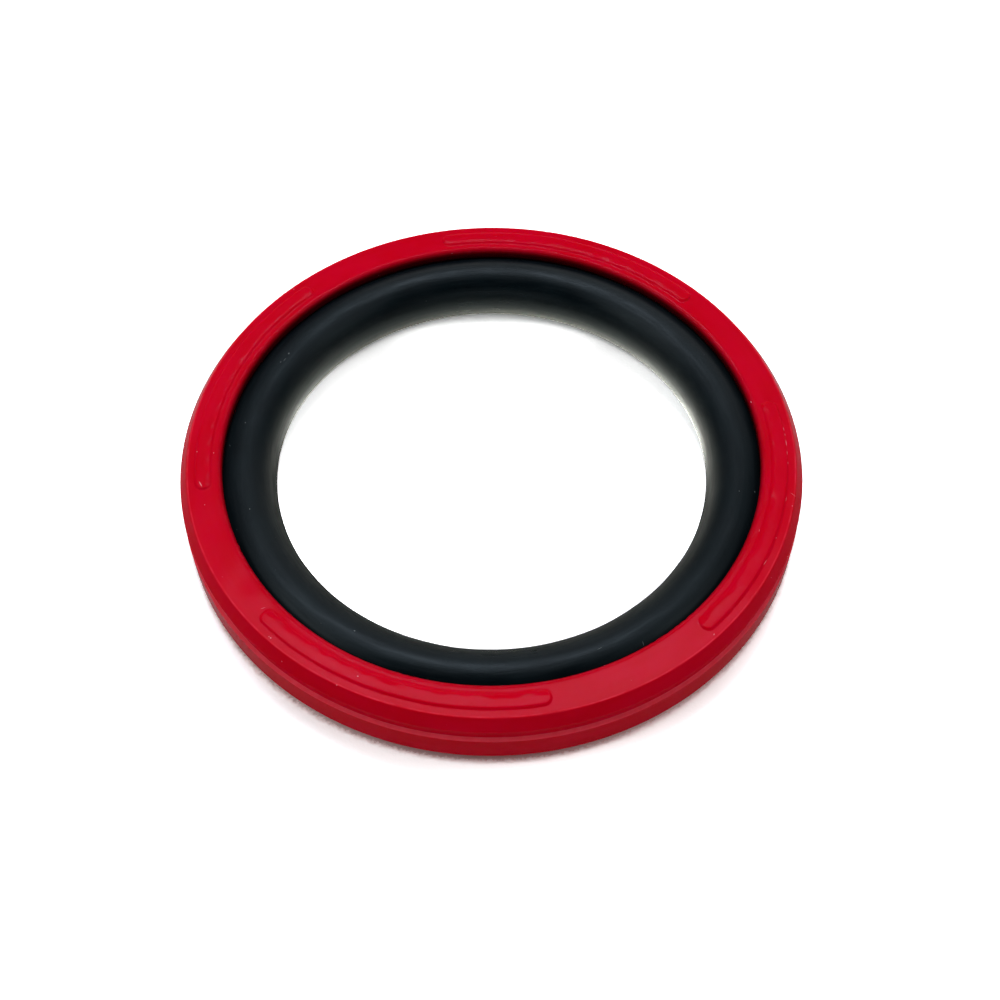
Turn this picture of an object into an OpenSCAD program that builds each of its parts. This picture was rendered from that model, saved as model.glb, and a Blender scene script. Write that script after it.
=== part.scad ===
// A double-acting piston seal: a moulded polyurethane sealing ring, with a rubber ring of round
// section in the seat round its inside that presses it against the cylinder wall.
// Millimetres. The seal lies flat: Z is its axis and z = 0 is the lower end face.

/* [Sealing ring] */
// Outside diameter over the lip and the land, before the seal is fitted
outer_d = 71.2; // [60:0.1:90]
// Height between the two end faces
ring_h = 8.2; // [7.6:0.1:12]
// How far the sloping shoulder at each end runs in
shoulder_w = 1; // [0.4:0.05:1.6]
// How far the sloping shoulder at each end runs along the axis
shoulder_h = 1.55; // [0.8:0.05:2]
// Width of the lubricating groove, from the lip down to the land
groove_w = 1.85; // [0.8:0.05:2.4]
// Depth of the lubricating groove
groove_depth = 0.4; // [0.2:0.05:0.8]
// How far the groove's lower side slopes along the axis
groove_slope = 0.3; // [0.1:0.05:0.5]
// Thickness of the ring behind the floor of the seat
wall = 3.75; // [2.8:0.05:5]
// Radius where each shoulder meets its end face
face_edge_r = 0.2; // [0.1:0.05:0.4]
// Radius of the lip, of the land's edges and of the groove's corners
lip_r = 0.1; // [0.05:0.01:0.18]
// Radius of the mouth's edge at each end face
mouth_edge_r = 0.6; // [0.2:0.05:0.8]

/* [Energising ring] */
// Diameter of the rubber cord
cord_d = 7; // [5.6:0.1:7.4]
// How much larger the seat's radius is than the cord's
seat_ease = 0.3; // [0.1:0.05:0.6]
// How far each edge of the mouth closes over the cord
grip = 1.2; // [0.6:0.05:1.5]

/* [Raised pads] */
// Number of raised pads on the upper end face
pad_count = 4; // [2:1:6]
// Angle from one tip of a pad to the other
pad_angle = 58.5; // [20:0.5:58.5]
// Height of a pad above the face
pad_h = 0.2; // [0.1:0.05:0.4]
// How far the sides of a pad lean in
pad_lean = 0.2; // [0.05:0.05:0.3]
// Width of the face left between a pad and the shoulder
pad_outer_margin = 0.9; // [0.5:0.05:1.2]
// Width of the face left between a pad and the mouth
pad_inner_margin = 1.15; // [0.9:0.05:1.4]

/* [Hidden] */
$fn = 180;

// Number of straight steps in each small rounded edge
edge_steps = 4;
// Depth to which a pad is rooted in the face
pad_root = 0.3;

// Radii of the sealing ring
outer_r = outer_d / 2;
face_r = outer_r - shoulder_w;
floor_r = outer_r - wall;
mouth_r = floor_r - grip;

// The cord rests against the floor of the seat, level with the ring's middle
middle_z = ring_h / 2;
cord_r = cord_d / 2;
cord_ring_r = floor_r - cord_r;
seat_r = cord_r + seat_ease;
seat_ring_r = floor_r - seat_r;

// Heights of the lip and of the land's upper edge
lip_z = ring_h - shoulder_h;
land_top_z = lip_z - groove_w;

// A pad lies between its two margins
pad_outer_r = face_r - pad_outer_margin;
pad_inner_r = mouth_r + pad_inner_margin;
pad_ring_r = (pad_outer_r + pad_inner_r) / 2;
pad_half_w = (pad_outer_r - pad_inner_r) / 2;
// Angle that the round tip at one end of a pad takes up
pad_tip_angle = asin(pad_half_w / pad_ring_r);

// Vector of length one along v
function unit(v) = v / norm(v);

// Arc of radius r that rounds the corner b, on the way from a to c
function rounded_corner(a, b, c, r) =
    let (
        back = unit(a - b),
        ahead = unit(c - b),
        half = acos(back * ahead) / 2,
        centre = b + unit(back + ahead) * r / sin(half),
        first = b + back * r / tan(half) - centre,
        last = b + ahead * r / tan(half) - centre,
        sweep = 180 - 2 * half
    )
    [for (i = [0:edge_steps])
        let (t = sweep * i / edge_steps)
        centre + (first * sin(sweep - t) + last * sin(t)) / sin(sweep)];

// Closed outline through corners given as [radius, height, edge radius]
function rounded_outline(corners) =
    let (count = len(corners), points = [for (p = corners) [p[0], p[1]]])
    [for (i = [0:count - 1])
        each rounded_corner(points[(i + count - 1) % count], points[i],
                            points[(i + 1) % count], corners[i][2])];

// Half section of the sealing ring, before the seat is cut
module ring_profile() {
    polygon(rounded_outline([
        [mouth_r, 0, mouth_edge_r],
        [face_r, 0, face_edge_r],
        [outer_r, shoulder_h, lip_r],
        [outer_r, land_top_z, lip_r],
        [outer_r - groove_depth, land_top_z + groove_slope, lip_r],
        [outer_r - groove_depth, lip_z, lip_r],
        [outer_r, lip_z, lip_r],
        [face_r, ring_h, face_edge_r],
        [mouth_r, ring_h, mouth_edge_r]
    ]));
}

// Half section of a pad, from its centre line and the face outwards
module pad_half_profile() {
    polygon([
        [0, -pad_root],
        [pad_half_w, -pad_root],
        [pad_half_w, 0],
        [pad_half_w - pad_lean, pad_h],
        [0, pad_h]
    ]);
}

// Round tip of a pad, at the angle given
module pad_tip(angle) {
    rotate([0, 0, angle])
        translate([pad_ring_r, 0, ring_h])
            rotate_extrude()
                pad_half_profile();
}

// One raised pad, centred on +X
module pad() {
    reach = pad_angle / 2 - pad_tip_angle;
    rotate([0, 0, -reach])
        rotate_extrude(angle = 2 * reach)
            translate([pad_ring_r, ring_h]) {
                pad_half_profile();
                mirror([1, 0])
                    pad_half_profile();
            }
    pad_tip(-reach);
    pad_tip(reach);
}

module sealing_ring() {
    color([0.76, 0.02, 0.13]) {
        rotate_extrude()
            difference() {
                ring_profile();
                translate([seat_ring_r, middle_z])
                    circle(r = seat_r);
            }
        for (i = [0:pad_count - 1])
            rotate([0, 0, i * 360 / pad_count])
                pad();
    }
}

module energising_ring() {
    color([0.11, 0.13, 0.14])
        rotate_extrude()
            translate([cord_ring_r, middle_z])
                circle(r = cord_r);
}

sealing_ring();
energising_ring();
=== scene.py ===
# %% [markdown]
# A double-acting piston seal, lying flat on a pale table. It has two pieces. The red one is a ring
# of moulded polyurethane that slides on the wall of a hydraulic cylinder. The black one is a rubber
# ring of round section in a channel round the inside, and it presses the red ring outwards. The
# lesson builds both as meshes in code, gives each a procedural finish and lights them as small
# product shots are lit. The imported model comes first, because it fixes every place and size.

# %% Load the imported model
import math

import bpy
import numpy as np
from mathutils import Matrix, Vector


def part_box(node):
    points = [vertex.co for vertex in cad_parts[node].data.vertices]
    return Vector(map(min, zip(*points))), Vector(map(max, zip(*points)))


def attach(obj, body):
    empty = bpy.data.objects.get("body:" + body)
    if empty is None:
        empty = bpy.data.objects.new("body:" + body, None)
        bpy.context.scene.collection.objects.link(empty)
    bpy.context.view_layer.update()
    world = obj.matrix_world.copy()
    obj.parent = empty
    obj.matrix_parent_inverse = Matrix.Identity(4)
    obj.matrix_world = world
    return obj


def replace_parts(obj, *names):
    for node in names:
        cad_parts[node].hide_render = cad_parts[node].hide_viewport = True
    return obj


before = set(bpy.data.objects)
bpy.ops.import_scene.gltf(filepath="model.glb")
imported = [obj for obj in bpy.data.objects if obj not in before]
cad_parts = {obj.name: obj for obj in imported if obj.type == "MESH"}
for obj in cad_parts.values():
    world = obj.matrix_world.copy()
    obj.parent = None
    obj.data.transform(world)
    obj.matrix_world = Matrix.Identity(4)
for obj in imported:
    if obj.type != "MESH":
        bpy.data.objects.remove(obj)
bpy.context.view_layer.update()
MM = 0.001
print("packed nodes:", sorted(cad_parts))

# %% [markdown]
# The camera stands close to the seal and looks down at it steeply, so that the far side is clearly
# smaller than the near side. Its place, its angles, its lens and its very small shift were worked
# out from the edges of the rings, and they are kept as plain numbers.

# %% Place the camera
CAMERA_PLACE = (33.436 * MM, -98.783 * MM, 146.484 * MM)
CAMERA_TILT = math.radians(34.936)
CAMERA_TURN = math.radians(18.102)
CAMERA_LENS = 54.6
CAMERA_SHIFT = -0.001
CAMERA_NEAREST = 10 * MM
# Azimuth of the camera, seen from the seal's axis
CAMERA_AZIMUTH = math.degrees(math.atan2(CAMERA_PLACE[1], CAMERA_PLACE[0]))


def add_object(name, data):
    """A new object in the scene's main collection."""
    made = bpy.data.objects.new(name, data)
    bpy.context.scene.collection.objects.link(made)
    return made


lens = bpy.data.cameras.new("product_camera")
lens.lens = CAMERA_LENS
lens.shift_x = CAMERA_SHIFT
lens.clip_start = CAMERA_NEAREST
camera = add_object("product_camera", lens)
camera.location = CAMERA_PLACE
camera.rotation_euler = (CAMERA_TILT, 0, CAMERA_TURN)
bpy.context.scene.camera = camera
print("camera azimuth", round(CAMERA_AZIMUTH, 1))

# %% [markdown]
# A glossy ring shows its lamps as bright bands, so the lamps are chosen by what each band should
# look like. A bright strip stands high behind the seal: the black ring mirrors it along its crest,
# and the near part of the red face catches it as a pale veil. Wider and weaker panels below and
# above it let that band fade out softly. A panel on each side lights the sloping shoulders, and a
# low one on the camera's side lights the upright outer face. The strengths add up so that a colour
# renders about as it is written.

# %% Light the scene
LAMP_DISTANCE = 1.2


def polar_place(azimuth, elevation, distance):
    """A place round the seal. Azimuth 0 is away from the camera, and it grows clockwise."""
    turn = math.radians(CAMERA_AZIMUTH + 180 - azimuth)
    rise = math.radians(elevation)
    flat = distance * math.cos(rise)
    return Vector((flat * math.cos(turn), flat * math.sin(turn), distance * math.sin(rise)))


def soft_panel(name, azimuth, elevation, width, height, watts, colour=(1, 1, 1)):
    """A rectangular lamp that faces the seal."""
    lamp = bpy.data.lights.new(name, "AREA")
    lamp.shape = "RECTANGLE"
    lamp.size, lamp.size_y = width, height
    lamp.energy = watts
    lamp.color = colour
    made = add_object(name, lamp)
    made.location = polar_place(azimuth, elevation, LAMP_DISTANCE)
    made.rotation_euler = made.location.to_track_quat("Z", "Y").to_euler()
    print(name, "gives", watts, "W")


soft_panel("low_back_panel", 14, 28, 1.20, 0.50, 3.1)
soft_panel("back_panel", 6, 60, 1.00, 0.56, 1.6)
soft_panel("bright_strip", -9, 65, 0.66, 0.26, 6.8, colour=(0.97, 0.98, 1.1))
soft_panel("high_panel", 0, 84, 1.00, 0.36, 1.0)
soft_panel("left_panel", -95, 50, 0.60, 0.50, 4.2)
soft_panel("right_panel", 95, 50, 0.60, 0.50, 2.7)
soft_panel("front_panel", 180, 22, 1.40, 0.34, 2.1)

# %% [markdown]
# Shading networks are easier to read when each node is made in one short call. The first helper
# makes a node, fills in its plain values and links whatever comes from another node. The other two
# wrap the nodes for arithmetic on values and on vectors.

# %% Helpers for shading nodes
def add_node(tree, kind, options=None, **inputs):
    """A node of a kind. Options set its own fields, and inputs are values or sockets to link."""
    node = tree.nodes.new("ShaderNode" + kind)
    for field, value in (options or {}).items():
        setattr(node, field, value)
    for key, value in inputs.items():
        place = node.inputs[int(key[3:]) if key.startswith("in_") else key.replace("_", " ")]
        if isinstance(value, bpy.types.NodeSocket):
            tree.links.new(value, place)
        else:
            place.default_value = value
    return node


def maths(tree, operation, *values):
    """The output of a Math node on one to three values."""
    inputs = {f"in_{i}": value for i, value in enumerate(values)}
    return add_node(tree, "Math", {"operation": operation}, **inputs).outputs[0]


def vector_maths(tree, operation, *vectors, **more):
    """The outputs of a Vector Math node on one or two vectors."""
    inputs = {f"in_{i}": vector for i, vector in enumerate(vectors)}
    return add_node(tree, "VectorMath", {"operation": operation}, **inputs, **more).outputs


# %% [markdown]
# Every finish below is made of masks: values from 0 to 1 that say where something lies. These short
# helpers multiply values, add them up, turn a distance into a soft mask, and lay one value or
# colour over another by a mask.

# %% Helpers for masks
def product(tree, *values):
    """Several values multiplied together."""
    total = values[0]
    for value in values[1:]:
        total = maths(tree, "MULTIPLY", total, value)
    return total


def weighted_sum(tree, total, *terms):
    """A value plus others, each given with its weight."""
    for value, weight in terms:
        total = maths(tree, "MULTIPLY_ADD", value, weight, total)
    return total


def ramp(tree, value, start, end, low, high):
    """A value that goes softly from low to high while another goes from start to end."""
    return add_node(tree, "MapRange", {"interpolation_type": "SMOOTHSTEP"}, Value=value,
                    From_Min=start, From_Max=end, To_Min=low, To_Max=high).outputs[0]


def mix_value(tree, mask, below, above):
    """One value laid over another by a mask."""
    return add_node(tree, "Mix", Factor=mask, A=below, B=above).outputs[0]


def mix_colour(tree, mask, below, above):
    """One colour laid over another by a mask."""
    return add_node(tree, "MixRGB", Fac=mask, Color1=below, Color2=above).outputs[0]


def print_nodes(name, tree):
    """Prints how many nodes a finish or a group has."""
    print(name, "has", len(tree.nodes), "nodes")


# %% [markdown]
# The world has three parts, which the Light Path node tells apart. It lights the seal from all
# round with a plain dim white, so that no side is left black. The camera sees it as a plain white
# backdrop. The black ring mirrors it as a backdrop that is pale near the horizon and darkens higher
# up, as a small studio does: an even white there would turn the rubber grey.

# %% Set the world
WHITE = (1, 1, 1, 1)
DIM_LIGHT = 0.13


def looked_at(tree):
    """Two masks: where the camera or a reflection looks, and where a reflection alone does."""
    path = add_node(tree, "LightPath").outputs
    mirrored = maths(tree, "MAXIMUM", path["Is Glossy Ray"], path["Is Transmission Ray"])
    return maths(tree, "MAXIMUM", path["Is Camera Ray"], mirrored), mirrored


world = bpy.data.worlds.new("studio")
bpy.context.scene.world = world
world.use_nodes = True
sky = world.node_tree
sky.nodes.clear()
direction = add_node(sky, "TexCoord").outputs["Generated"]
upwards = add_node(sky, "SeparateXYZ", Vector=direction).outputs["Z"]
backdrop = ramp(sky, upwards, 0.2, 0.5, 0.55, 0.06)
looked, mirrored = looked_at(sky)
backdrop = mix_value(sky, mirrored, 1.0, backdrop)
around = add_node(sky, "Background", Color=WHITE, Strength=DIM_LIGHT).outputs[0]
behind = add_node(sky, "Background", Color=WHITE, Strength=backdrop).outputs[0]
mixed = add_node(sky, "MixShader", Fac=looked, in_1=around, in_2=behind).outputs[0]
add_node(sky, "OutputWorld", Surface=mixed)
bpy.context.scene.view_settings.view_transform = "Standard"
print_nodes("studio world", sky)

# %% [markdown]
# The table is a plain pale sheet, made as one wide flat plane. It isn't part of the seal.

# %% Lay the table
TABLE_HALF = 1.5
bpy.ops.mesh.primitive_plane_add(size=2 * TABLE_HALF)
table = bpy.context.object
table.name = "table"
print("table is", 2 * TABLE_HALF, "m wide")

# %% [markdown]
# A product photograph is exposed until its table is white, so the camera sees the sheet lifted, by
# a factor that changes from place to place; this paints light and shade on the sheet. Outside the
# ring the factor is small where the seal touches the table and grows within a millimetre, which
# paints a short soft shadow over the real one. It grows again far away, where the lamps no longer
# reach. Inside the ring it grows towards the rim, painting out the shade that falls there, and it
# drops close under the black ring, which paints shade there. For reflections the far half of that
# inner table is painted bright, which paints a soft pale line on the black ring's lower edge.

# %% How far the table is lifted
def table_lifts(tree, place, from_axis, clear):
    """Factors outside the ring, inside it, and inside it as a reflection sees it.

    Clear is 0 in the seal's shadow and 1 away from it. All three paint light and shade.
    """

    def towards(azimuth):
        """How far a point lies towards an azimuth, counted from the axis."""
        return vector_maths(tree, "DOT_PRODUCT", place, polar_place(azimuth, 0, 1))["Value"]

    outside = product(
        tree,
        # Low in the seal's shadow: a painted shadow
        weighted_sum(tree, 0.7, (clear, 1.4)),
        # A little higher at the front right
        ramp(tree, towards(130), 15 * MM, 34 * MM, 1.0, 1.3),
        # Much higher far away
        ramp(tree, from_axis, 0.2, 1.5, 1.0, 14.0),
    )
    by_rim = ramp(tree, from_axis, 21.5 * MM, 25.2 * MM, 1.5, 3.95)
    inside = product(
        tree,
        by_rim,
        # Higher under the far side, painting out its shade
        ramp(tree, towards(0), 21 * MM, 27 * MM, 1.0, 2.25),
        # Slightly higher on the left than on the right
        ramp(tree, towards(90), -22 * MM, 22 * MM, 1.12, 0.82),
        # Lower close under the black ring: painted shade
        ramp(tree, from_axis, 26.3 * MM, 27.3 * MM, 1.0, 0.5),
    )
    painted_reflection_lift = product(
        tree,
        by_rim,
        # Painted reflection: bright on the far half, though less so at its far end
        ramp(tree, towards(4), 2 * MM, 11 * MM, 0.4, 8.0),
        ramp(tree, towards(0), 8 * MM, 20 * MM, 1.0, 0.4),
        # Slightly brighter on the right
        ramp(tree, towards(90), -22 * MM, 22 * MM, 0.7, 1.1),
        # Dimmer near the axis
        ramp(tree, from_axis, 14 * MM, 22 * MM, 0.4, 1.0),
    )
    return outside, inside, painted_reflection_lift


# %% [markdown]
# The sheet has a very fine grain, which also makes the edge of the shadow slightly uneven. Close to
# the seal the sheet is painted a little warmer, as painted red light from the ring on top of what
# it really casts. The light that the sheet itself gives the seal is lowered a little.

# %% Finish of the table
CARD = (0.9, 0.893, 0.89, 1)
PAINTED_REFLECTION_CARD = (0.9, 0.89, 0.76, 1)
RED_BOUNCE_CARD = (1.0, 0.88, 0.86, 1)
OPEN_CARD = (0.85, 0.92, 0.92, 1)
INNER_TABLE_R = 31 * MM
OUTER_MIRRORED = 0.55
SHEET_LIGHT = 0.75


def object_place(tree):
    """Where a point lies in its object, in metres."""
    return add_node(tree, "TexCoord").outputs["Object"]


pale_card = bpy.data.materials.new("pale_card")
pale_card.use_nodes = True
tree = pale_card.node_tree
tree.nodes.clear()
place = object_place(tree)
from_axis = vector_maths(tree, "LENGTH", place)["Value"]
grain = add_node(tree, "TexNoise", Vector=place, Scale=2600.0, Detail=3.0).outputs["Fac"]
ragged = weighted_sum(tree, from_axis, (grain, 0.9 * MM))
clear = ramp(tree, ragged, 35.6 * MM, 36.45 * MM, 0.0, 1.0)
outside, inside, painted_reflection_lift = table_lifts(tree, place, from_axis, clear)
inner = maths(tree, "LESS_THAN", from_axis, INNER_TABLE_R)
lift = mix_value(tree, inner, outside, inside)
painted_reflection_lift = mix_value(tree, inner, OUTER_MIRRORED, painted_reflection_lift)
looked, mirrored = looked_at(tree)
lift = mix_value(tree, looked, SHEET_LIGHT, lift)
lift = mix_value(tree, mirrored, lift, painted_reflection_lift)
outer_tone = mix_colour(tree, clear, RED_BOUNCE_CARD, OPEN_CARD)
# Reflections of the inner table get a painted yellowish tint
inner_tone = mix_colour(tree, mirrored, CARD, PAINTED_REFLECTION_CARD)
tone = mix_colour(tree, inner, outer_tone, inner_tone)
tone = mix_colour(tree, looked, CARD, tone)
colour = vector_maths(tree, "SCALE", tone, Scale=lift)[0]
bump = add_node(tree, "Bump", Strength=0.4, Distance=0.08 * MM, Height=grain).outputs[0]
surface = add_node(tree, "BsdfDiffuse", Color=colour, Normal=bump).outputs[0]
add_node(tree, "OutputMaterial", Surface=surface)
table.data.materials.append(pale_card)
print_nodes("pale card", tree)

# %% [markdown]
# Both rings are turned forms, so each mesh is a section carried round the axis. The section is
# written once as corners with an edge radius each. A helper rounds the corners, and a second one
# splits long straight runs, so that the surface has vertices enough for small moulded forms.

# %% Helpers for turned meshes
EDGE_STEPS = 5


def rounded_section(corners):
    """Points of a section through corners given as (radius, height, edge radius), in mm."""
    points = []
    for i, (x, y, r) in enumerate(corners):
        here = np.array((x, y))
        if not r:
            points.append(here)
            continue
        back = np.array(corners[i - 1][:2]) - here
        ahead = np.array(corners[(i + 1) % len(corners)][:2]) - here
        back, ahead = back / np.linalg.norm(back), ahead / np.linalg.norm(ahead)
        half = math.acos(back @ ahead) / 2
        middle = (back + ahead) / np.linalg.norm(back + ahead)
        centre = here + middle * r / math.sin(half)
        first = here + back * r / math.tan(half) - centre
        last = here + ahead * r / math.tan(half) - centre
        sweep = math.pi - 2 * half
        for k in range(EDGE_STEPS + 1):
            t = sweep * k / EDGE_STEPS
            arm = (first * math.sin(sweep - t) + last * math.sin(t)) / math.sin(sweep)
            points.append(centre + arm)
    return points


def split_runs(points, longest):
    """The same section with points added, so that no gap is longer than longest(point)."""
    made = []
    for here, following in zip(points, points[1:]):
        gap = following - here
        count = max(1, math.ceil(np.linalg.norm(gap) / longest((here + following) / 2)))
        made += [here + gap * k / count for k in range(count)]
    return made + [points[-1]]


def turned_piece(name, radius, height, angles):
    """A piece with a closed mesh, from radius and height in mm, one row for each angle."""
    rows, columns = radius.shape
    turn = angles[:, None]
    places = np.stack([radius * np.cos(turn), radius * np.sin(turn), height], -1) * MM
    number = np.arange(rows * columns).reshape(rows, columns)
    following = np.roll(number, -1, 0)
    corners = [number, np.roll(number, -1, 1), np.roll(following, -1, 1), following]
    faces = np.stack(corners, -1).reshape(-1, 4)
    mesh = bpy.data.meshes.new(name)
    mesh.from_pydata(places.reshape(-1, 3).tolist(), [], faces.tolist())
    mesh.shade_smooth()
    print(name, "has", len(mesh.polygons), "faces")
    return add_object(name, mesh)


# %% [markdown]
# The red ring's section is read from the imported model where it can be, and the small sizes are
# written here in millimetres. From the inside it goes over the mouth's edge, along the upper face,
# down the sloping shoulder to the lip, round the lubricating groove, down the land, and back
# underneath to the concave seat that holds the black ring.

# %% The section of the sealing ring
SHOULDER_W, SHOULDER_H = 1.0, 1.55
GROOVE_W, GROOVE_DEPTH, GROOVE_SLOPE = 1.85, 0.4, 0.3
FACE_EDGE_R, LIP_R, MOUTH_EDGE_R = 0.2, 0.1, 0.6
SEAT_EASE = 0.3
GRIP = 1.2
FACE_STEP, SIDE_STEP = 0.085, 0.45
SEAT_POINTS = 14

OUTER_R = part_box("sealing_ring")[1].x / MM
cord_low, cord_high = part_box("energising_ring")
CORD_R = (cord_high.z - cord_low.z) / MM / 2
MIDDLE_Z = (cord_high.z + cord_low.z) / MM / 2
RING_H = 2 * MIDDLE_Z
CORD_RING_R = cord_high.x / MM - CORD_R
FACE_R = OUTER_R - SHOULDER_W
GROOVE_R = OUTER_R - GROOVE_DEPTH
LAND_TOP = RING_H - SHOULDER_H - GROOVE_W
SEAT_R = CORD_R + SEAT_EASE
SEAT_RING_R = CORD_RING_R + CORD_R - SEAT_R
MOUTH_R = CORD_RING_R + CORD_R - GRIP

# Half the height of the seat where the mouth cuts it
seat_rise = math.sqrt(SEAT_R**2 - (MOUTH_R - SEAT_RING_R) ** 2)
outline = rounded_section([
    (MOUTH_R, MIDDLE_Z + seat_rise, 0),
    (MOUTH_R, RING_H, MOUTH_EDGE_R),
    (FACE_R, RING_H, FACE_EDGE_R),
    (OUTER_R, RING_H - SHOULDER_H, LIP_R),
    (GROOVE_R, RING_H - SHOULDER_H, LIP_R),
    (GROOVE_R, LAND_TOP + GROOVE_SLOPE, LIP_R),
    (OUTER_R, LAND_TOP, LIP_R),
    (OUTER_R, SHOULDER_H, LIP_R),
    (FACE_R, 0, FACE_EDGE_R),
    (MOUTH_R, 0, MOUTH_EDGE_R),
    (MOUTH_R, MIDDLE_Z - seat_rise, 0),
])
outline = split_runs(outline, lambda p: FACE_STEP if p[1] > RING_H - 0.01 else SIDE_STEP)
seat_turn = math.atan2(seat_rise, MOUTH_R - SEAT_RING_R)
seat = [
    np.array((SEAT_RING_R + SEAT_R * math.cos(t), MIDDLE_Z + SEAT_R * math.sin(t)))
    for t in np.linspace(-seat_turn, seat_turn, SEAT_POINTS + 2)[1:-1]
]
section = np.array(outline + seat)
print("section points", len(section), "of which seat", len(seat))

# %% [markdown]
# Four low pads stand on the upper face. Each is a bar bent round the ring, with round tips. The
# outer wall is steep and its crest is crisp. The inner side starts with a small step and then
# slopes gently up to the crest, a little unevenly, as moulded forms do where they cool slowly. The
# pads are a height that is added to the face, so the mesh needs more rows where a tip bends
# sharply.

# %% The raised pads
PAD_COUNT, PAD_ANGLE = 4, 58.5
PAD_INNER_MARGIN, PAD_OUTER_MARGIN = 1.15, 0.9
PAD_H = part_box("sealing_ring")[1].z / MM - RING_H
PAD_INNER_R = MOUTH_R + PAD_INNER_MARGIN
PAD_OUTER_R = FACE_R - PAD_OUTER_MARGIN
PAD_RING_R = (PAD_INNER_R + PAD_OUTER_R) / 2
PAD_HALF_W = (PAD_OUTER_R - PAD_INNER_R) / 2
PAD_HALF_ANGLE = math.radians(PAD_ANGLE) / 2
PAD_REACH = PAD_HALF_ANGLE - math.asin(PAD_HALF_W / PAD_RING_R)
PAD_CROWN = 0.015
# Width of the steep wall, and of the small step on the inner side with its share of the height
PAD_WALL = 0.26
PAD_STEP_WALL, PAD_STEP = 0.16, 0.26
# The gentle slope starts this far outside the pad and is this wide, give or take a little
SLOPE_START, SLOPE_W, SLOPE_UNEVEN = 0.25, 0.85, 0.2


def smooth(t):
    """A soft step from 0 to 1."""
    t = np.clip(t, 0, 1)
    return t * t * (3 - 2 * t)


def from_pad(angle):
    """Angle from the middle of the nearest pad."""
    pitch = 2 * math.pi / PAD_COUNT
    return np.abs((angle + pitch / 2) % pitch - pitch / 2)


def pad_height(radius, angle, uneven):
    """Height of the pads over the face, in mm. Uneven changes how soon the slope rises."""
    past = np.maximum(from_pad(angle) - PAD_REACH, 0)
    across = radius * np.cos(past) - PAD_RING_R
    off = np.hypot(across, radius * np.sin(past))
    inside = PAD_HALF_W - off
    steep = smooth(inside / PAD_WALL) * (1 - PAD_CROWN / PAD_H * (off / PAD_HALF_W) ** 2)
    rise = smooth((inside + SLOPE_START) / (SLOPE_W + SLOPE_UNEVEN * uneven))
    gentle = PAD_STEP * smooth(inside / PAD_STEP_WALL) + (1 - PAD_STEP) * rise
    # 1 on the side that faces the axis, and 0 on the crest and the outer side
    inwards = smooth(-across / np.maximum(off, 1e-6) * 1.6 - 0.3) * smooth(off / 0.3)
    return PAD_H * (steep + (gentle - steep) * inwards)


FINE_STEP = math.radians(0.12)
FINE_REACH = math.radians(1.3)
COARSE_EVERY = 5
fine = np.arange(0, 2 * math.pi - FINE_STEP / 2, FINE_STEP)
near_tip = np.abs(from_pad(fine) - (PAD_REACH + PAD_HALF_ANGLE) / 2) < FINE_REACH
angles = fine[near_tip | (np.arange(len(fine)) % COARSE_EVERY == 0)]
print("rows round the ring", len(angles))

# %% [markdown]
# A moulded ring isn't perfect. Its upper face sinks and swells by one or two hundredths of a
# millimetre, which shows only in the sheen, and the mouth's edge was trimmed after moulding, so it
# is slightly ragged. Both come from sums of waves with fixed random phases, because they join up
# round the ring.

# %% Build the sealing ring
SWELL = 0.007
FACE_MIDDLE_R, FACE_HALF_W = 32.5, 1.5
# Where the mouth was trimmed: this far outside its radius and below the face, and this wide
TRIM_OUT, TRIM_BELOW, TRIM_W = 0.1, 0.35, 0.25
TRIM_LEAST, TRIM_MORE = 0.004, 0.02
chance = np.random.default_rng(7)


def waves(angle, lowest, highest, count):
    """A wavy value of size about 1 that repeats after one turn."""
    turns = chance.integers(lowest, highest, count)
    phases = chance.uniform(0, 2 * math.pi, count)
    return np.cos(angle[..., None] * turns + phases).sum(-1) / math.sqrt(count / 2)


turn = np.broadcast_to(angles[:, None], (len(angles), len(section)))
radius = np.broadcast_to(section[:, 0], turn.shape).copy()
height = np.broadcast_to(section[:, 1], turn.shape).copy()
on_face = height > RING_H - 0.001
uneven = np.clip(waves(angles, 12, 90, 16), -1.5, 1.5)[:, None]
height += on_face * pad_height(radius, turn, uneven)
swell = waves(angles, 5, 50, 14)[:, None]
swell = swell + waves(angles, 5, 50, 14)[:, None] * (radius - FACE_MIDDLE_R) / FACE_HALF_W
height += on_face * SWELL * swell
from_trim = np.hypot(radius - MOUTH_R - TRIM_OUT, height - RING_H + TRIM_BELOW) / TRIM_W
by_mouth = np.exp(-(from_trim**2))
patches = smooth(waves(angles, 3, 14, 6) * 0.8)[:, None]
ragged = waves(angles, 60, 240, 24)[:, None]
radius += by_mouth * (TRIM_LEAST + TRIM_MORE * patches) * ragged
sealing_ring = turned_piece("moulded_sealing_ring", radius, height, angles)
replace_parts(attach(sealing_ring, "root"), "sealing_ring")

# %% [markdown]
# The black ring is a torus whose cord varies very slightly in thickness, with the faint ridge that
# the two halves of its mould leave round the inside. The cord is a hair thinner than the packed
# one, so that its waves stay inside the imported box.

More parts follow.
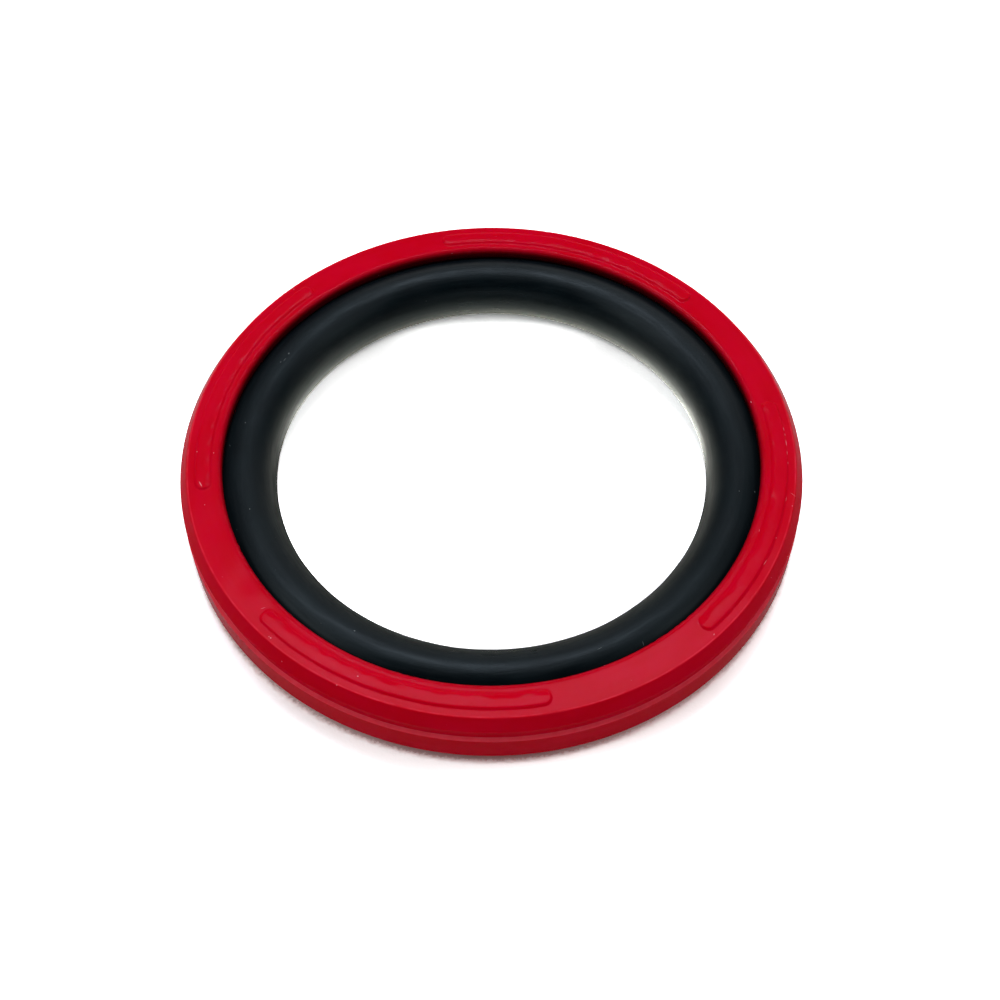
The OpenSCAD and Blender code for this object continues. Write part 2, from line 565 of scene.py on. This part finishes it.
# %% Build the energising ring
CORD_ROWS = 600
CORD_SIDES = 72
CORD_WAVE = 0.006
CORD_THINNER = 0.012
RIDGE_H, RIDGE_W = 0.003, 0.08
cord_angles = np.linspace(0, 2 * math.pi, CORD_ROWS, endpoint=False)
cord_turn = np.linspace(0, 2 * math.pi, CORD_SIDES, endpoint=False)
ridge = RIDGE_H * np.exp(-(((cord_turn - math.pi) / RIDGE_W) ** 2))
cord_r = CORD_R + CORD_WAVE * waves(cord_angles, 4, 22, 7)[:, None] - CORD_THINNER + ridge
cord_radius = CORD_RING_R + cord_r * np.cos(cord_turn)
cord_height = MIDDLE_Z + cord_r * np.sin(cord_turn)
energising_ring = turned_piece("rubber_energising_ring", cord_radius, cord_height, cord_angles)
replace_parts(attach(energising_ring, "root"), "energising_ring")

# %% [markdown]
# Both rings carry the same kinds of small marks, so each kind is a node group that is built once
# and used in both finishes with its own values. One helper starts a group with its named inputs and
# outputs. Another gives a point's place as a turned form has it: its direction from the axis, its
# radius and its height.

# %% Helpers for node groups
MM_PER_M = 1000


def start_group(name, inputs, outputs):
    """A node group with named number inputs, given with usual values, and named outputs."""
    group = bpy.data.node_groups.new(name, "ShaderNodeTree")
    for label, value in inputs.items():
        socket = group.interface.new_socket(label, in_out="INPUT", socket_type="NodeSocketFloat")
        socket.default_value = value
    for label in outputs:
        group.interface.new_socket(label, in_out="OUTPUT", socket_type="NodeSocketFloat")
    given = group.nodes.new("NodeGroupInput").outputs
    return group, given, group.nodes.new("NodeGroupOutput").inputs


def ring_place(tree):
    """Direction from the axis, radius and height of a point, the last two in millimetres."""
    place = object_place(tree)
    flat = vector_maths(tree, "MULTIPLY", place, (MM_PER_M, MM_PER_M, 0))[0]
    radius = vector_maths(tree, "LENGTH", flat)["Value"]
    heading = vector_maths(tree, "NORMALIZE", flat)[0]
    height = product(tree, add_node(tree, "SeparateXYZ", Vector=place).outputs["Z"], MM_PER_M)
    return heading, radius, height


# %% [markdown]
# The first kind is marks that run round the ring, left where the mould was turned and where the
# rings were wiped. Noise is stretched along the circle. It is read from a point's direction, radius
# and height, and not from its angle, so it has no seam.

# %% Node group: marks that run round
def round_noise(tree, along, across, detail):
    """Noise with so many lumps in a radian of turn, and so many in a millimetre across."""
    heading, radius, height = ring_place(tree)
    spread = vector_maths(tree, "SCALE", heading, Scale=along)[0]
    lift = add_node(tree, "CombineXYZ", Z=product(tree, radius, across)).outputs[0]
    where = vector_maths(tree, "ADD", spread, lift)[0]
    noise = add_node(tree, "TexNoise", {"noise_dimensions": "4D"}, Vector=where,
                     W=product(tree, height, across), Scale=1.0, Detail=detail)
    return noise.outputs["Fac"]


round_marks, given, result = start_group(
    "round_marks", {"Along": 4.0, "Across": 3.0}, ["Marks", "Patches"]
)
fine_noise = round_noise(round_marks, given["Along"], given["Across"], 4.0)
round_marks.links.new(ramp(round_marks, fine_noise, 0.35, 0.7, 0.0, 1.0), result["Marks"])
broad_along = product(round_marks, given["Along"], 0.9)
broad_across = product(round_marks, given["Across"], 0.2)
broad_noise = round_noise(round_marks, broad_along, broad_across, 2.0)
round_marks.links.new(ramp(round_marks, broad_noise, 0.35, 0.65, 0.0, 1.0), result["Patches"])
print_nodes("round marks", round_marks)

# %% [markdown]
# The second kind is dust: pale specks that lie anywhere. A Voronoi texture splits space into cells,
# and each cell has a random colour. One channel of it decides whether the cell holds a speck, and
# another how large the speck is.

# %% Node group: dust
dust, given, result = start_group(
    "dust", {"Spacing mm": 1.0, "Size": 0.1, "Share": 0.3}, ["Specks"]
)
cells_per_m = maths(dust, "DIVIDE", MM_PER_M, given["Spacing mm"])
cells = add_node(dust, "TexVoronoi", Vector=object_place(dust), Scale=cells_per_m).outputs
chances = add_node(dust, "SeparateColor", Color=cells["Color"]).outputs
reach = product(dust, given["Size"], maths(dust, "ADD", chances["Green"], 0.2))
speck = ramp(dust, maths(dust, "DIVIDE", cells["Distance"], reach), 0.1, 1.0, 1.0, 0.0)
chosen = maths(dust, "LESS_THAN", chances["Red"], given["Share"])
dust.links.new(product(dust, speck, chosen), result["Specks"])
print_nodes("dust", dust)

# %% [markdown]
# The third kind is a line round the ring at one radius and height, such as a painted highlight
# along an edge, painted shade in a crevice, or the seam of a mould. It fades with the distance
# from that circle, and noise breaks it up along the way.

# %% Node group: a line round the ring
ring_line, given, result = start_group(
    "ring_line",
    {"Radius mm": 30.0, "Height mm": 8.0, "Width mm": 0.2, "Softness": 0.7, "Breaks": 0.5},
    ["Line"],
)
_, radius, height = ring_place(ring_line)
aside = maths(ring_line, "SUBTRACT", radius, given["Radius mm"])
above = maths(ring_line, "SUBTRACT", height, given["Height mm"])
aside, above = product(ring_line, aside, aside), product(ring_line, above, above)
away = maths(ring_line, "SQRT", maths(ring_line, "ADD", aside, above))
full = maths(ring_line, "SUBTRACT", 1.0, given["Softness"])
line = ramp(ring_line, maths(ring_line, "DIVIDE", away, given["Width mm"]), full, 1.0, 1.0, 0.0)
gaps = ramp(ring_line, round_noise(ring_line, 26.0, 0.6, 3.0), 0.38, 0.62, 0.0, 1.0)
kept = maths(ring_line, "SUBTRACT", 1.0, product(ring_line, given["Breaks"], gaps))
ring_line.links.new(product(ring_line, line, kept), result["Line"])
print_nodes("ring line", ring_line)

# %% [markdown]
# The fourth kind has its own place: a pale mark on a pad, partly a nick and partly a painted
# glint, a speck, or a short scratch. Each mark is a tiny stretched ball in space. A Mapping node
# moves, turns and scales the ball to the unit ball, and a spherical gradient gives its strength.
# Each use takes the marks made so far and adds its own, so that they follow one another in a row.

# %% Node group: a mark with its own place
MARK_HALF_H = 0.4
placed_mark, given, result = start_group("placed_mark", {
    "Angle": 0.0, "Radius mm": 30.0, "Height mm": 8.0,
    "Length mm": 0.5, "Width mm": 0.1, "Turn": 0.0, "So far": 0.0,
}, ["Marks"])
heading = maths(placed_mark, "RADIANS", given["Angle"])
reach = product(placed_mark, given["Radius mm"], MM)
middle = add_node(
    placed_mark, "CombineXYZ",
    X=product(placed_mark, maths(placed_mark, "COSINE", heading), reach),
    Y=product(placed_mark, maths(placed_mark, "SINE", heading), reach),
    Z=product(placed_mark, given["Height mm"], MM),
).outputs[0]
lengthwise = maths(placed_mark, "ADD", given["Angle"], given["Turn"])
lengthwise = maths(placed_mark, "RADIANS", maths(placed_mark, "ADD", lengthwise, 90.0))
facing = add_node(placed_mark, "CombineXYZ", Z=lengthwise).outputs[0]
half_sizes = add_node(
    placed_mark, "CombineXYZ",
    X=product(placed_mark, given["Length mm"], MM / 2),
    Y=product(placed_mark, given["Width mm"], MM / 2),
    Z=MARK_HALF_H * MM,
).outputs[0]
spot = add_node(placed_mark, "Mapping", {"vector_type": "TEXTURE"},
                Vector=object_place(placed_mark), Location=middle, Rotation=facing,
                Scale=half_sizes).outputs[0]
ball = add_node(placed_mark, "TexGradient", {"gradient_type": "SPHERICAL"}, Vector=spot)
mark = ramp(placed_mark, ball.outputs["Fac"], 0.0, 0.6, 0.0, 1.0)
placed_mark.links.new(maths(placed_mark, "MAXIMUM", mark, given["So far"]), result["Marks"])
print_nodes("placed mark", placed_mark)

# %% [markdown]
# The last group is the relief of a moulded skin. It is a very fine grain, with the marks and the
# specks of the other groups standing on it, and it gives one height for the Bump node.

# %% Node group: moulded skin
moulded_skin, given, result = start_group(
    "moulded_skin", {"Grains per mm": 5.0, "Grain": 0.4, "Marks": 0.0, "Specks": 0.0}, ["Height"]
)
fineness = product(moulded_skin, given["Grains per mm"], MM_PER_M)
grain = add_node(moulded_skin, "TexNoise", Vector=object_place(moulded_skin), Scale=fineness,
                 Detail=3.0).outputs["Fac"]
relief = weighted_sum(
    moulded_skin, given["Marks"], (grain, given["Grain"]), (given["Specks"], 2.0)
)
moulded_skin.links.new(relief, result["Height"])
print_nodes("moulded skin", moulded_skin)

# %% [markdown]
# Short helpers place these groups in a material. They lay a line round the ring or a row of placed
# marks, and give the shader its moulded skin. Others start a material and set what is the same all
# over it.

# %% Helpers for the finishes
def start_finish(name):
    """A material with its node tree and its Principled BSDF."""
    material = bpy.data.materials.new(name)
    material.use_nodes = True
    return material, material.node_tree, material.node_tree.nodes["Principled BSDF"]


def set_values(shader, values):
    """Values that are the same all over, on the shader's own sockets."""
    for socket, value in values.items():
        shader.inputs[socket].default_value = value


def place_group(tree, group, **values):
    """The outputs of a node group placed in a tree."""
    return add_node(tree, "Group", {"node_tree": group}, **values).outputs


def line_round(tree, radius, height, width, softness, breaks):
    """A line round the ring, with its sizes in millimetres."""
    return place_group(tree, ring_line, Radius_mm=radius, Height_mm=height, Width_mm=width,
                       Softness=softness, Breaks=breaks)[0]


def place_marks(tree, marks):
    """Marks given as (angle, radius, height, length, width, turn). Turn 0 is along the ring."""
    total = 0.0
    for angle, radius, height, length, width, turn in marks:
        total = place_group(tree, placed_mark, Angle=angle, Radius_mm=radius, Height_mm=height,
                            Length_mm=length, Width_mm=width, Turn=turn, So_far=total)[0]
    return total


def add_skin(tree, shader, grains_per_mm, grain, marks, pale, strength, depth):
    """The moulded skin, as the shader's bump."""
    skin = place_group(tree, moulded_skin, Grains_per_mm=grains_per_mm, Grain=grain,
                       Marks=marks["Marks"], Specks=pale)[0]
    bump = add_node(tree, "Bump", Strength=strength, Distance=depth, Height=skin)
    tree.links.new(bump.outputs[0], shader.inputs["Normal"])


# %% [markdown]
# Red polyurethane is slightly clear, so light scatters a little under its surface and edges stay
# deep red. Its skin is smooth from the mould, with faint marks round it. A paler red is painted
# along some edges as a highlight, and on the lower side of the groove as light, where the skin is
# also made duller. Deep in the mouth, beside the black ring, painted shade darkens the red. First
# come the masks.

# %% Marks on the sealing ring
PAD_TOP = RING_H + PAD_H
SHADE_BELOW, SHADE_W = 1.25, 1.6
red_polyurethane, tree, shader = start_finish("red_polyurethane")
marks = place_group(tree, round_marks, Along=5.0, Across=2.4)
specks = place_group(tree, dust, Spacing_mm=1.1, Size=0.09, Share=0.14)[0]
edge_light = 0.0
# Each painted edge light: radius, height, width, softness, breaks, and how strongly it shows
for *edge, strength in [
    (OUTER_R - 0.2, LAND_TOP + 0.15, 0.29, 0.25, 0.1, 0.75),
    (OUTER_R, RING_H - SHOULDER_H, 0.12, 0.8, 0.7, 0.15),
    (FACE_R - 0.1, RING_H, 0.14, 0.8, 0.5, 0.22),
    (MOUTH_R + 0.3, RING_H, 0.25, 0.8, 0.9, 0.06),
]:
    rub = product(tree, line_round(tree, *edge), strength)
    edge_light = maths(tree, "MAXIMUM", rub, edge_light)
# Painted shade deep in the mouth, beside the black ring
mouth_shade = line_round(tree, MOUTH_R, RING_H - SHADE_BELOW, SHADE_W, 0.75, 0.0)
# The marks on the pads are partly nicks and partly painted glints; the rest are specks and
# scratches
nicks_and_glints = place_marks(tree, [
    (21.98, 33.66, PAD_TOP, 0.9, 0.10, 2), (20.58, 33.68, PAD_TOP, 0.5, 0.08, -3),
    (18.55, 33.66, PAD_TOP, 1.3, 0.12, 0), (16.13, 33.64, PAD_TOP, 0.8, 0.08, 0),
    (13.73, 33.66, PAD_TOP, 0.6, 0.08, 3), (5.10, 33.68, PAD_TOP, 1.0, 0.06, 0),
    (-10.1, 33.66, PAD_TOP, 1.2, 0.10, -4), (6.40, 34.38, RING_H, 0.9, 0.05, 60),
    (3.83, 34.46, RING_H, 0.16, 0.14, 0), (-4.15, 33.68, PAD_TOP, 0.18, 0.14, 0),
    (-3.71, 31.68, RING_H, 0.5, 0.05, 10), (-152.1, 33.02, PAD_TOP, 1.0, 0.16, 20),
    (-147.2, 32.87, RING_H, 0.16, 0.12, 0), (-160.0, 33.47, PAD_TOP, 0.20, 0.14, 0),
    (-159.8, 31.60, RING_H, 0.20, 0.14, 0), (-120.0, 32.43, RING_H, 0.7, 0.05, 70),
    (-114.2, 34.18, RING_H, 0.26, 0.20, 0), (-96.4, 32.86, PAD_TOP, 0.24, 0.18, 0),
    (-28.6, 34.13, RING_H, 0.30, 0.12, 30), (29.92, 30.90, RING_H, 0.36, 0.14, 0),
])
pale = maths(tree, "MAXIMUM", specks, nicks_and_glints)
print_nodes("red polyurethane with its masks", tree)

# %% [markdown]
# The masks now lay a paler or darker red over the base colour, which gives the painted edge light
# and the painted shade in the mouth, and make the skin duller. The gloss is weak beside the strong
# colour.

# %% Finish of the sealing ring
DEEP_RED, BRIGHT_RED = (0.46, 0.0001, 0.0085, 1), (0.485, 0.0003, 0.0125, 1)
EDGE_LIGHT_RED = (0.86, 0.07, 0.11, 1)
MOUTH_SHADE_RED = (0.02, 0.0, 0.0008, 1)
PALE_ON_RED = (0.78, 0.42, 0.44, 1)
colour = mix_colour(tree, marks["Patches"], DEEP_RED, BRIGHT_RED)
# Painted highlights along edges, and painted light on the groove's ledge
colour = mix_colour(tree, edge_light, colour, EDGE_LIGHT_RED)
# Painted shade in the mouth
colour = mix_colour(tree, product(tree, mouth_shade, 0.92), colour, MOUTH_SHADE_RED)
colour = mix_colour(tree, product(tree, pale, 0.5), colour, PALE_ON_RED)
tree.links.new(colour, shader.inputs["Base Color"])
roughness = weighted_sum(tree, 0.12, (marks["Marks"], 0.06), (edge_light, 0.4), (pale, 0.3))
tree.links.new(roughness, shader.inputs["Roughness"])
add_skin(tree, shader, 5.2, 0.35, marks, pale, strength=0.35, depth=0.012 * MM)
set_values(shader, {
    "Specular IOR Level": 0.024,
    "Specular Tint": (0.8, 0.8, 1.0, 1),
    "Subsurface Weight": 0.6,
    "Subsurface Radius": (1.0, 0.05, 0.06),
    "Subsurface Scale": 0.4 * MM,
})
sealing_ring.data.materials.append(red_polyurethane)
print_nodes("red polyurethane", tree)

# %% [markdown]
# Nitrile rubber is a deep, slightly blue-green black with a satin skin, and the mould's seam runs
# round its inside. Dust shows on it more than on the red ring, so it has its own row of specks and
# short fibres.

# %% Marks on the energising ring
black_rubber, tree, shader = start_finish("black_rubber")
marks = place_group(tree, round_marks, Along=7.0, Across=2.8)
specks = place_group(tree, dust, Spacing_mm=0.9, Size=0.09, Share=0.07)[0]
seam = line_round(tree, CORD_RING_R - CORD_R, MIDDLE_Z, 0.12, 0.7, 0.5)
lint = place_marks(tree, [
    (-39.6, 30.02, 7.18, 0.7, 0.07, 75), (-48.3, 28.55, 7.59, 0.8, 0.06, 8),
    (-102.7, 28.01, 7.58, 0.26, 0.20, 0), (167.9, 28.15, 7.59, 0.34, 0.22, 20),
    (170.0, 28.05, 7.59, 0.70, 0.08, 0), (171.1, 28.26, 7.60, 0.26, 0.14, 20),
    (-169.3, 28.78, 7.57, 0.22, 0.16, 0), (-144.4, 28.17, 7.59, 0.24, 0.16, 0),
    (-163.3, 30.10, 7.13, 0.5, 0.06, 40), (7.11, 30.21, 7.06, 0.24, 0.18, 0),
    (5.87, 28.46, 7.60, 0.18, 0.14, 0),
])
pale = maths(tree, "MAXIMUM", specks, lint)
print_nodes("black rubber with its masks", tree)

# %% [markdown]
# The sheen of the rubber is broken into faint streaks that run round the ring. It spreads more
# across the cord than along it, so the shader is anisotropic, with a tangent that goes round the
# axis. It is also a little softer on the left and right of the ring than on its near and far sides.

# %% Finish of the energising ring
BLACK, LIGHTER_BLACK = (0.0001, 0.0013, 0.0022, 1), (0.0004, 0.0023, 0.0034, 1)
SEAM_GREY = (0.012, 0.016, 0.017, 1)
PALE_ON_BLACK = (0.17, 0.19, 0.19, 1)
colour = mix_colour(tree, marks["Patches"], BLACK, LIGHTER_BLACK)
colour = mix_colour(tree, product(tree, seam, 0.25), colour, SEAM_GREY)
colour = mix_colour(tree, product(tree, pale, 0.5), colour, PALE_ON_BLACK)
tree.links.new(colour, shader.inputs["Base Color"])
sideways = polar_place(90, 0, 1)
beside = vector_maths(tree, "DOT_PRODUCT", ring_place(tree)[0], sideways)["Value"]
beside = product(tree, beside, beside)
roughness = weighted_sum(tree, 0.27, (marks["Marks"], 0.10), (beside, 0.13), (pale, 0.3))
tree.links.new(roughness, shader.inputs["Roughness"])
add_skin(tree, shader, 4.2, 0.6, marks, pale, strength=0.4, depth=0.013 * MM)
set_values(shader, {
    "Specular IOR Level": 0.1,
    "Specular Tint": (0.78, 0.95, 1, 1),
    "Anisotropic": 0.7,
    "Anisotropic Rotation": 0.25,
})
along = add_node(tree, "Tangent", {"direction_type": "RADIAL", "axis": "Z"}).outputs[0]
tree.links.new(along, shader.inputs["Tangent"])
energising_ring.data.materials.append(black_rubber)
print_nodes("black rubber", tree)
